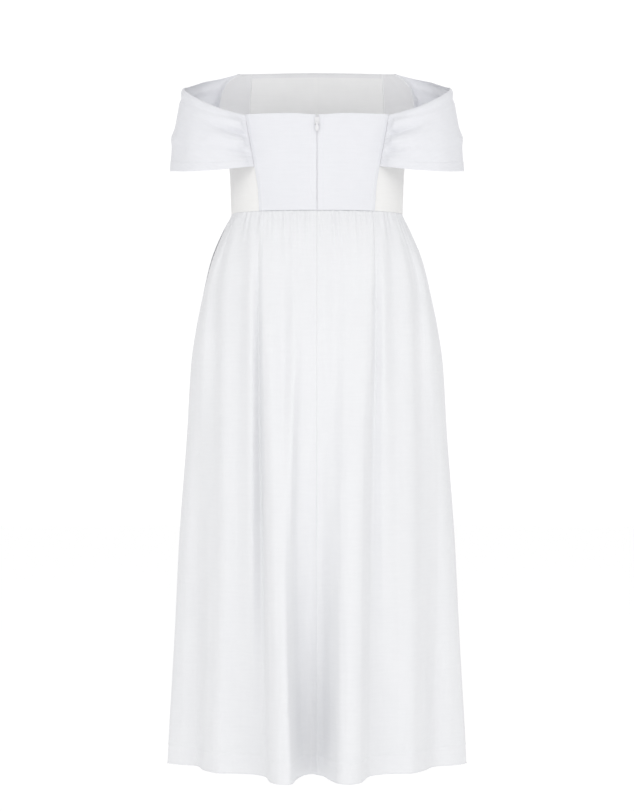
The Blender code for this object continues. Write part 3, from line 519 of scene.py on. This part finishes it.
def sleeve_panel(share, down):
    """The sleeve's outer face: its folds, the soft roll along its top and its stitched hem."""
    step = 0.002
    a, b = np.maximum(share - step, 0), np.minimum(share + step, 1)
    c, d = np.maximum(down - step, 0), np.minimum(down + step, 1)
    across = sleeve_surface(b, down) - sleeve_surface(a, down)
    along = sleeve_surface(share, d) - sleeve_surface(share, c)
    normal = unit(np.cross(across, along))
    back_normal = sleeve_back_edge(down, 1.0) - sleeve_back_edge(down, 0.0)
    front_normal = sleeve_front_edge(down, 1.0) - sleeve_front_edge(down, 0.0)
    normal = back_normal + (normal - back_normal) * soft_step(share / 0.08)[:, None]
    normal = front_normal + (normal - front_normal) * soft_step((1 - share) / 0.08)[:, None]
    normal = unit(normal)
    seam_share = np.minimum(share, 1 - share)
    relief = sleeve_relief(share, down, SLEEVE_FOLDS) * soft_step(seam_share / 0.05)
    relief = relief + sleeve_relief(share, down, SLEEVE_CREASES) * soft_step(seam_share / 0.012)
    width, height = 0.30, 0.135
    roll = soft_step(share / 0.15) * soft_step((1 - share) / 0.10)
    relief = relief + 0.0016 * roll * bump_at(down - 0.055, 0.050)
    relief = relief - 0.0010 * roll * bump_at(down - 0.125, 0.030)
    relief = relief + edge_roll(down * height, 0.0014, 0.0030)
    relief = relief + edge_roll((1 - down) * height, 0.0008, 0.0020)
    relief = relief + edge_roll(seam_share * width, 0.0007, 0.0016)
    below = soft_step((down - SLEEVE_HEM_DOWN) / 0.012)
    relief = relief + 0.0003 * below - 0.0004 * bump_at(down - SLEEVE_HEM_DOWN, 0.010)
    relief = relief + 0.0006 * ripple(share * width, down * height, 16) * soft_step(seam_share / 0.04)
    return sleeve_surface(share, down) + normal * (relief + CLOTH)[:, None]


def fold_line(fold, names, height):
    values = [0.0 if name is None else getattr(fold, name) for name in names]
    return float(smooth_at(FOLD_HEIGHTS, values, height))


def skirt_guides(side, height):
    half_width, depth, squareness = ring_at(SKIRT, height, side)
    guides = [(half_width, 0.0)]
    for fold in BACK_FOLDS if side == BACK else FRONT_FOLDS:
        x = fold_line(fold, ("hem_x", "knee_x", "hip_x", "waist_x"), height)
        relief = fold_line(fold, ("hem_relief", "knee_relief", "hip_relief", None), height)
        guides.append((x, ring_depth(x, half_width, depth, squareness) + relief))
    guides.append((-half_width, 0.0))
    return np.array(guides) * (1, side)


def skirt_section(side, height):
    """A fine line round one half of the skirt at a height: FINE points from each fold to the next."""
    guides = skirt_guides(side, height)
    beyond = skirt_guides(-side, height)
    guides = np.vstack([beyond[1], guides, beyond[-2]])
    chords = np.linalg.norm(np.diff(guides, axis=0), axis=1)
    knots = np.concatenate([[0], np.cumsum(chords**0.5)])
    line = []
    for i in range(1, len(guides) - 2):
        last = i == len(guides) - 3
        k, p = knots[i - 1 : i + 3], guides[i - 1 : i + 3]
        t = np.linspace(k[1], k[2], FINE + last, endpoint=last)[:, None]
        first = [(k[j + 1] - t) * p[j] + (t - k[j]) * p[j + 1] for j in range(3)]
        first = [first[j] / (k[j + 1] - k[j]) for j in range(3)]
        second = [(k[j + 2] - t) * first[j] + (t - k[j]) * first[j + 1] for j in range(2)]
        second = [second[j] / (k[j + 2] - k[j]) for j in range(2)]
        line.append(((k[2] - t) * second[0] + (t - k[1]) * second[1]) / (k[2] - k[1]))
    return np.vstack(line)


def cloth_shares(side):
    shares = []
    for height in FOLD_HEIGHTS:
        line = skirt_section(side, height)
        lengths = np.linalg.norm(np.diff(line, axis=0), axis=1)
        travelled = np.concatenate([[0], np.cumsum(lengths)])[::FINE]
        shares.append(travelled / travelled[-1])
    return np.mean(shares, axis=0)


def gather(share, height):
    """The even part of the gathers under the waist seam, as in the solids."""
    uneven = 0.25 * np.sin(6.28 * 3 * share + 1.0) + 0.15 * np.sin(6.28 * 7 * share)
    wave = np.sin(math.tau * (GATHERS_IN_HALF * share + uneven))
    size = 0.75 + 0.25 * np.sin(6.28 * 5 * share + 0.6)
    below = -height
    fade = (0.45 + 0.55 * soft_step(below / 0.010)) * np.exp(-below / 0.055)
    return size * fade, wave


def front_tucks():
    """Tucks of the front, uneven in place, depth and reach like those of the back."""
    tucks = []
    for k in range(FRONT_TUCKS):
        middle = (k + 0.5 + 0.34 * math.sin(2.7 * k + 0.4)) / FRONT_TUCKS
        x = 0.136 * math.cos(math.pi * middle)
        size = 0.5 + 0.5 * math.sin(1.9 * k + 1.1)
        tucks.append(Tuck(x, 0.0016 + 0.0022 * size, 0.025 + 0.085 * size**2, 0.0016 + 0.0008 * size))
    return tucks


def tuck_relief(x, height, tucks):
    """The troughs of the single tucks, read at the place across the waist that the cloth comes from."""
    below = -height
    total = np.zeros_like(x)
    for tuck in tucks:
        spread = tuck.width * (1 + below / 0.05)
        fade = np.exp(-((below / tuck.reach) ** 1.4))
        total = total - tuck.depth * fade * bump_at(x - tuck.x, spread)
    return total * (0.35 + 0.65 * soft_step(below / 0.012))


SKIRT_ROWS = np.concatenate(
    [
        np.linspace(0.00015, 0.060, 31)[:-1],
        np.linspace(0.060, 0.300, 41)[:-1],
        np.linspace(0.300, 0.845, 44)[:-1],
        np.linspace(0.845, SKIRT_LENGTH, 24),
    ]
)


def skirt_relief(share, across_m, height, waist_x, tucks, width):
    """All that stands out of the skirt's fold lines: gathers, tucks, hem, edges and unevenness."""
    size, wave = gather(share, height)
    below = -height
    relief = 0.0021 * size * (1 + 0.45 * wave)
    relief = relief + tuck_relief(waist_x, height, tucks)
    relief = relief + edge_roll(below, *WAIST_ROLL)
    from_hem = SKIRT_LENGTH - below
    relief = relief + 0.0003 * soft_step((HEM_DEPTH - from_hem) / 0.002)
    relief = relief - 0.00045 * bump_at(from_hem - HEM_DEPTH, 0.0016)
    relief = relief + edge_roll(from_hem, 0.0008, 0.0025)
    near = np.minimum(across_m, width - across_m)
    relief = relief + edge_roll(near, 0.0008, 0.0022)
    calm = soft_step(near / 0.012)
    return relief + 0.0005 * ripple(across_m, height * 0.35, 21) * calm


def skirt_panel(side, from_fold, to_fold, depth=0.0):
    """The outer face of a skirt panel, or a layer at a depth inside it."""
    shares = cloth_shares(side)
    tucks = BACK_TUCKS if side == BACK else front_tucks()
    waist = skirt_section(side, 0.0)

    def place(across, up):
        points = np.empty((len(across), 3))
        rows = np.rint((1 - up) * (len(SKIRT_ROWS) - 1)).astype(int)
        for row in np.unique(rows):
            here = rows == row
            height = -SKIRT_ROWS[row]
            line = skirt_section(side, height)
            tangents = unit(np.gradient(line, axis=0))
            length = np.linalg.norm(np.diff(line, axis=0), axis=1).sum()
            margin = SEAM_GAP / 2 / length
            start, end = shares[from_fold] + margin, shares[to_fold] - margin
            share = start + across[here] * (end - start)
            at = FINE * np.interp(share, shares, range(len(shares)))
            x, y = (np.interp(at, range(len(line)), line[:, k]) for k in (0, 1))
            tx, ty = (np.interp(at, range(len(line)), tangents[:, k]) for k in (0, 1))
            normal = unit(np.stack([ty, -tx], axis=-1) * -side)
            width = (end - start) * length
            waist_x = np.interp(at, range(len(waist)), waist[:, 0])
            relief = skirt_relief(share, across[here] * width, height, waist_x, tucks, width)
            relief = relief - depth
            points[here, 0] = x + normal[:, 0] * relief
            points[here, 1] = y + normal[:, 1] * relief
            points[here, 2] = height
        return points

    return place


def grid_mesh(name, columns, rows, surface, hand):
    """A grid laid on a surface, with each point's place in the cloth kept for the weave."""
    work = bmesh.new()
    bmesh.ops.create_grid(work, x_segments=columns, y_segments=rows, size=0.5)
    for edge in work.edges:
        edge.smooth = not edge.is_boundary
    mesh = bpy.data.meshes.new(name)
    work.to_mesh(mesh)
    work.free()
    flat = np.empty(len(mesh.vertices) * 3)
    mesh.vertices.foreach_get("co", flat)
    across, up = flat.reshape(-1, 3)[:, 0] + 0.5, flat.reshape(-1, 3)[:, 1] + 0.5
    points = surface(across, up) * (hand, 1, 1)
    mesh.vertices.foreach_set("co", points.ravel())
    c, r = np.rint(across * columns).astype(int), np.rint(up * rows).astype(int)
    grid = np.empty((rows + 1, columns + 1, 3))
    grid[r, c] = points
    steps = np.linalg.norm(np.diff(grid, axis=1), axis=2)
    thread_x = np.concatenate([np.zeros((rows + 1, 1)), np.cumsum(steps, axis=1)], axis=1)
    thread_x -= thread_x[:, columns // 2 : columns // 2 + 1]
    steps = np.linalg.norm(np.diff(grid, axis=0), axis=2)
    thread_y = np.concatenate([np.zeros((1, columns + 1)), np.cumsum(steps, axis=0)])
    thread = np.stack([thread_x[r, c], thread_y[r, c], np.zeros(len(r))], axis=-1)
    place = mesh.attributes.new("thread", "FLOAT_VECTOR", "POINT")
    place.data.foreach_set("vector", thread.astype(np.float32).ravel())
    mesh.update()
    return mesh


def cloth_piece(name, node, surface, columns, rows, material, hand=LEFT, centre_x=0.0, wall=SHELL):
    """A thin shell on a panel's outer face, which stands for the panel's solid."""
    mesh = grid_mesh(name, columns, rows, surface, hand)
    middle = mesh.polygons[(rows // 2) * columns + columns // 2]
    away = Vector((middle.center.x - centre_x * hand, middle.center.y, 0.0))
    if middle.normal.dot(away) < 0:
        mesh.flip_normals()
    mesh.materials.append(material)
    mesh.shade_smooth()
    piece = bpy.data.objects.new(name, mesh)
    bpy.context.scene.collection.objects.link(piece)
    solidify = piece.modifiers.new("wall", "SOLIDIFY")
    solidify.thickness = wall
    solidify.offset = -1.0
    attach(piece, "dress")
    if node:
        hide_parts(node)
    return piece


def principled(name, roughness, sheen=0.0, metallic=0.0, coat=0.0):
    material = bpy.data.materials.new(name)
    material.use_nodes = True
    shader = material.node_tree.nodes["Principled BSDF"]
    shader.inputs["Roughness"].default_value = roughness
    shader.inputs["Metallic"].default_value = metallic
    shader.inputs["Sheen Weight"].default_value = sheen
    shader.inputs["Sheen Roughness"].default_value = 0.4
    shader.inputs["Coat Weight"].default_value = coat
    shader.inputs["Specular IOR Level"].default_value = 0.3
    return material, shader


def math_node(tree, operation, *values):
    node = tree.nodes.new("ShaderNodeMath")
    node.operation = operation
    for k, value in enumerate(values):
        if isinstance(value, (int, float)):
            node.inputs[k].default_value = value
        else:
            tree.links.new(value, node.inputs[k])
    return node.outputs[0]


def cloth_material(name, light, shade, pitch, crepe, roughness, sheen):
    """Woven cloth: threads over and under each other, a crepe's fine pebble, and faint slubs."""
    material, shader = principled(name, roughness, sheen)
    tree = material.node_tree
    thread = tree.nodes.new("ShaderNodeAttribute")
    thread.attribute_name = "thread"
    parts = tree.nodes.new("ShaderNodeSeparateXYZ")
    tree.links.new(thread.outputs["Vector"], parts.inputs[0])
    warp = math_node(tree, "SINE", math_node(tree, "MULTIPLY", parts.outputs[0], math.tau / pitch))
    weft = math_node(tree, "SINE", math_node(tree, "MULTIPLY", parts.outputs[1], math.tau / pitch))
    weave = math_node(tree, "MULTIPLY", warp, weft)

    def noise(scale, detail, stretch):
        mapping = tree.nodes.new("ShaderNodeMapping")
        mapping.inputs["Scale"].default_value = (scale * stretch[0], scale * stretch[1], scale)
        tree.links.new(thread.outputs["Vector"], mapping.inputs["Vector"])
        node = tree.nodes.new("ShaderNodeTexNoise")
        node.inputs["Scale"].default_value = 1.0
        node.inputs["Detail"].default_value = detail
        tree.links.new(mapping.outputs[0], node.inputs["Vector"])
        return node.outputs["Fac"]

    pebble = noise(900.0, 2.0, (1.0, 0.7))
    slub = noise(260.0, 3.0, (0.12, 1.0))
    cloud = noise(14.0, 2.0, (1.0, 0.6))
    tone = math_node(tree, "ADD", math_node(tree, "MULTIPLY", slub, 0.5), math_node(tree, "MULTIPLY", cloud, 0.5))
    ramp = tree.nodes.new("ShaderNodeValToRGB")
    ramp.color_ramp.elements[0].position = 0.35
    ramp.color_ramp.elements[1].position = 0.65
    ramp.color_ramp.elements[0].color = (*shade, 1.0)
    ramp.color_ramp.elements[1].color = (*light, 1.0)
    tree.links.new(tone, ramp.inputs[0])
    tree.links.new(ramp.outputs[0], shader.inputs["Base Color"])
    height = math_node(
        tree, "ADD", math_node(tree, "MULTIPLY", weave, 0.35), math_node(tree, "MULTIPLY", pebble, crepe)
    )
    height = math_node(tree, "ADD", height, math_node(tree, "MULTIPLY", slub, 0.6))
    bump = tree.nodes.new("ShaderNodeBump")
    bump.inputs["Strength"].default_value = 0.35
    bump.inputs["Distance"].default_value = 0.00018
    tree.links.new(height, bump.inputs["Height"])
    tree.links.new(bump.outputs[0], shader.inputs["Normal"])
    return material


def enamel_material():
    """White enamel on the zip's metal, slightly uneven where it was dipped."""
    material, shader = principled("white_enamel", 0.32, coat=0.4)
    tree = material.node_tree
    noise = tree.nodes.new("ShaderNodeTexNoise")
    noise.inputs["Scale"].default_value = 700.0
    ramp = tree.nodes.new("ShaderNodeValToRGB")
    ramp.color_ramp.elements[0].color = (0.70, 0.70, 0.71, 1.0)
    ramp.color_ramp.elements[1].color = (0.80, 0.80, 0.82, 1.0)
    tree.links.new(noise.outputs["Fac"], ramp.inputs[0])
    tree.links.new(ramp.outputs[0], shader.inputs["Base Color"])
    bump = tree.nodes.new("ShaderNodeBump")
    bump.inputs["Strength"].default_value = 0.15
    bump.inputs["Distance"].default_value = 0.0001
    tree.links.new(noise.outputs["Fac"], bump.inputs["Height"])
    tree.links.new(bump.outputs[0], shader.inputs["Normal"])
    return material


# crepe is the darker copy with painted shade; the front crepe is the lighter copy with painted light; the side
# panels' crepe has a painted shade tint; the lining is brightened with painted light
def bodice(crepe, lit_front_crepe, shade_tinted_crepe, lining, tape):
    for hand, word in ((LEFT, "left"), (RIGHT, "right")):
        piece = cloth_piece(
            f"back_panel_{word}", f"bodice_back_{word}", back_panel, 90, 80, crepe, hand
        )
        piece = cloth_piece(
            f"side_back_panel_{word}", f"bodice_side_back_{word}", side_back_panel, 50, 70, shade_tinted_crepe, hand
        )
        piece = cloth_piece(
            f"side_front_panel_{word}", f"bodice_side_front_{word}", side_front_panel, 50, 100, lit_front_crepe, hand
        )
    piece = cloth_piece("front_panel", "bodice_front", front_panel, 110, 90, lit_front_crepe)
    piece = cloth_piece("front_lining_panel", "front_lining", lining_panel, 80, 70, lining, wall=0.0005)
    piece = cloth_piece("zip_tape_woven", "zip_tape", zip_tape, 16, 60, tape, wall=0.0006)


def waist_stay(across, up):
    """The waist's seam allowances, pressed up inside the bodice: one band all round."""
    turn = math.tau * across
    height = -0.004 + 0.014 * up
    quarter = np.minimum(np.abs(np.cos(turn)), 1.0)
    back = torso_at_turn(BACK, np.arccos(quarter), height, -0.0013)
    front = torso_at_turn(FRONT, np.arccos(quarter), height, -0.0013)
    points = np.where((np.sin(turn) > 0)[:, None], back, front)
    points[:, 0] *= np.where(np.cos(turn) < 0, -1, 1)
    return points


# crepe here is the bodice's darker copy, with painted shade
def waist_seam(crepe):
    mesh = grid_mesh("waist_seam_allowance", 200, 6, waist_stay, LEFT)
    work = bmesh.new()
    work.from_mesh(mesh)
    bmesh.ops.remove_doubles(work, verts=work.verts[:], dist=0.00001)
    bmesh.ops.recalc_face_normals(work, faces=work.faces[:])
    work.to_mesh(mesh)
    work.free()
    mesh.materials.append(crepe)
    mesh.shade_smooth()
    piece = bpy.data.objects.new("waist_seam_allowance", mesh)
    bpy.context.scene.collection.objects.link(piece)
    solidify = piece.modifiers.new("wall", "SOLIDIFY")
    solidify.thickness = 0.0005
    solidify.offset = 0.0
    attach(piece, "dress")


# crepe here is the bodice's darker copy, with painted shade
def sleeves(crepe):
    for hand, word in ((LEFT, "left"), (RIGHT, "right")):
        piece = cloth_piece(
            f"draped_sleeve_{word}", f"sleeve_{word}", sleeve_panel, 170, 80, crepe, hand, 0.165
        )


def skirt(crepe):
    last_back, last_front = len(BACK_FOLDS) + 1, len(FRONT_FOLDS) + 1
    rows = len(SKIRT_ROWS) - 1
    for word, start, end in (("left", 0, CENTRE_BACK), ("right", CENTRE_BACK, last_back)):
        surface = skirt_panel(BACK, start, end)
        piece = cloth_piece(f"skirt_back_panel_{word}", f"skirt_back_{word}", surface, 220, rows, crepe)
    surface = skirt_panel(FRONT, 0, last_front)
    piece = cloth_piece("skirt_front_panel", "skirt_front", surface, 330, rows, crepe)


def backdrop():
    """A white dome that only the camera sees, so that the air's light stays soft and even."""
    bpy.ops.mesh.primitive_uv_sphere_add(segments=48, ring_count=24, radius=16.0, location=(0, 0, 0))
    dome = bpy.context.object
    dome.name = "white_backdrop"
    paper, shader = principled("backdrop_white", 1.0)
    shader.inputs["Base Color"].default_value = (0, 0, 0, 1)
    shader.inputs["Emission Color"].default_value = (1, 1, 1, 1)
    shader.inputs["Emission Strength"].default_value = 1.05
    dome.data.materials.append(paper)
    dome.visible_diffuse = False
    dome.visible_glossy = False
    dome.visible_transmission = False
    dome.visible_shadow = False


def floor():
    bpy.ops.mesh.primitive_circle_add(vertices=96, radius=14.0, fill_type="NGON", location=(0, 0, -1.25))
    ground = bpy.context.object
    ground.name = "studio_floor"
    paint, shader = principled("white_floor", 0.9)
    shader.inputs["Base Color"].default_value = (0.85, 0.85, 0.85, 1.0)
    shader.inputs["Emission Color"].default_value = (1.0, 1.0, 1.0, 1.0)
    shader.inputs["Emission Strength"].default_value = FLOOR_GLOW
    ground.data.materials.append(paint)


AIR = 0.78
FLOOR_GLOW = 0.33
Lamp = namedtuple("Lamp", "name x y z size energy")
LAMPS = (
    Lamp("key", 1.5, 3.6, 1.6, 2.2, 25.0),
    Lamp("fill", -1.9, 3.4, 1.0, 2.2, 20.0),
)


def studio():
    """A plain white sweep of floor and air, lit softly from the camera's side."""
    scene = bpy.context.scene
    world = bpy.data.worlds.new("white_air")
    world.use_nodes = True
    world.node_tree.nodes["Background"].inputs["Color"].default_value = (1.0, 1.0, 1.0, 1.0)
    world.node_tree.nodes["Background"].inputs["Strength"].default_value = AIR
    scene.world = world
    scene.view_settings.view_transform = "Standard"
    backdrop()
    floor()
    for row in LAMPS:
        light = bpy.data.lights.new(row.name, "AREA")
        light.shape = "DISK"
        light.size = row.size
        light.energy = row.energy
        lamp = bpy.data.objects.new(row.name, light)
        lamp.location = (row.x, row.y, row.z)
        aim = Vector((0, 0, -0.35)) - lamp.location
        lamp.rotation_euler = aim.to_track_quat("-Z", "Y").to_euler()
        scene.collection.objects.link(lamp)


CAMERA_HEIGHT = -0.308
CAMERA_DISTANCE = 3.6
FRAME_HEIGHT = 1.3138
SENSOR = 36.0


def camera():
    lens = bpy.data.cameras.new("camera")
    lens.sensor_width = SENSOR
    lens.lens = SENSOR * CAMERA_DISTANCE / FRAME_HEIGHT
    lens.clip_end = 60.0
    eye = bpy.data.objects.new("camera", lens)
    eye.location = (0, CAMERA_DISTANCE, CAMERA_HEIGHT)
    eye.rotation_euler = (math.radians(90), 0, math.radians(180))
    bpy.context.scene.collection.objects.link(eye)
    bpy.context.scene.camera = eye


def main():
    camera()
    studio()
    crepe = cloth_material(
        "white_crepe", (0.81, 0.815, 0.83), (0.79, 0.795, 0.812), 0.0006, 0.8, 0.85, 0.12
    )
    # A darker copy of the same white crepe for the bodice, its waist seam and the sleeves: the darkening is
    # painted shade for the dimmer light on them
    shaded_bodice_crepe = cloth_material(
        "white_crepe_bodice_painted_shade", (0.775, 0.78, 0.81), (0.755, 0.76, 0.79), 0.0006, 0.8, 0.85, 0.12
    )
    # A lighter copy of the same crepe for the front panels, seen from inside through the neck: the brightening is
    # painted light for the light that reaches the inside of the front
    lit_front_crepe = cloth_material(
        "white_crepe_front_painted_light", (0.85, 0.85, 0.865), (0.83, 0.83, 0.845), 0.0006, 0.8, 0.85, 0.12
    )
    # A warmer copy of the same crepe for the side panels under the sleeves: its warm tint is painted shade, the
    # tone these panels take in the shade of the sleeves
    shade_tinted_crepe = cloth_material(
        "white_crepe_side_painted_shade", (0.84, 0.835, 0.825), (0.82, 0.815, 0.805), 0.0006, 0.8, 0.85, 0.12
    )
    # The lining is white cloth, but its colour is set lighter than the crepe as painted light, for the light that
    # reaches the inside of the front
    lining = cloth_material(
        "white_lining_painted_light", (0.90, 0.90, 0.90), (0.88, 0.88, 0.88), 0.0004, 0.2, 0.6, 0.05
    )
    tape = cloth_material("zip_tape_weave", (0.76, 0.76, 0.78), (0.72, 0.72, 0.74), 0.0009, 0.1, 0.8, 0.05)
    enamel = enamel_material()
    # The bodice, its waist seam and the sleeves take the darker copy with painted shade
    bodice(shaded_bodice_crepe, lit_front_crepe, shade_tinted_crepe, lining, tape)
    waist_seam(shaded_bodice_crepe)
    sleeves(shaded_bodice_crepe)
    skirt(crepe)
    for node in ("zip_slider", "zip_pull"):
        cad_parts[node].data.materials.clear()
        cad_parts[node].data.materials.append(enamel)


main()
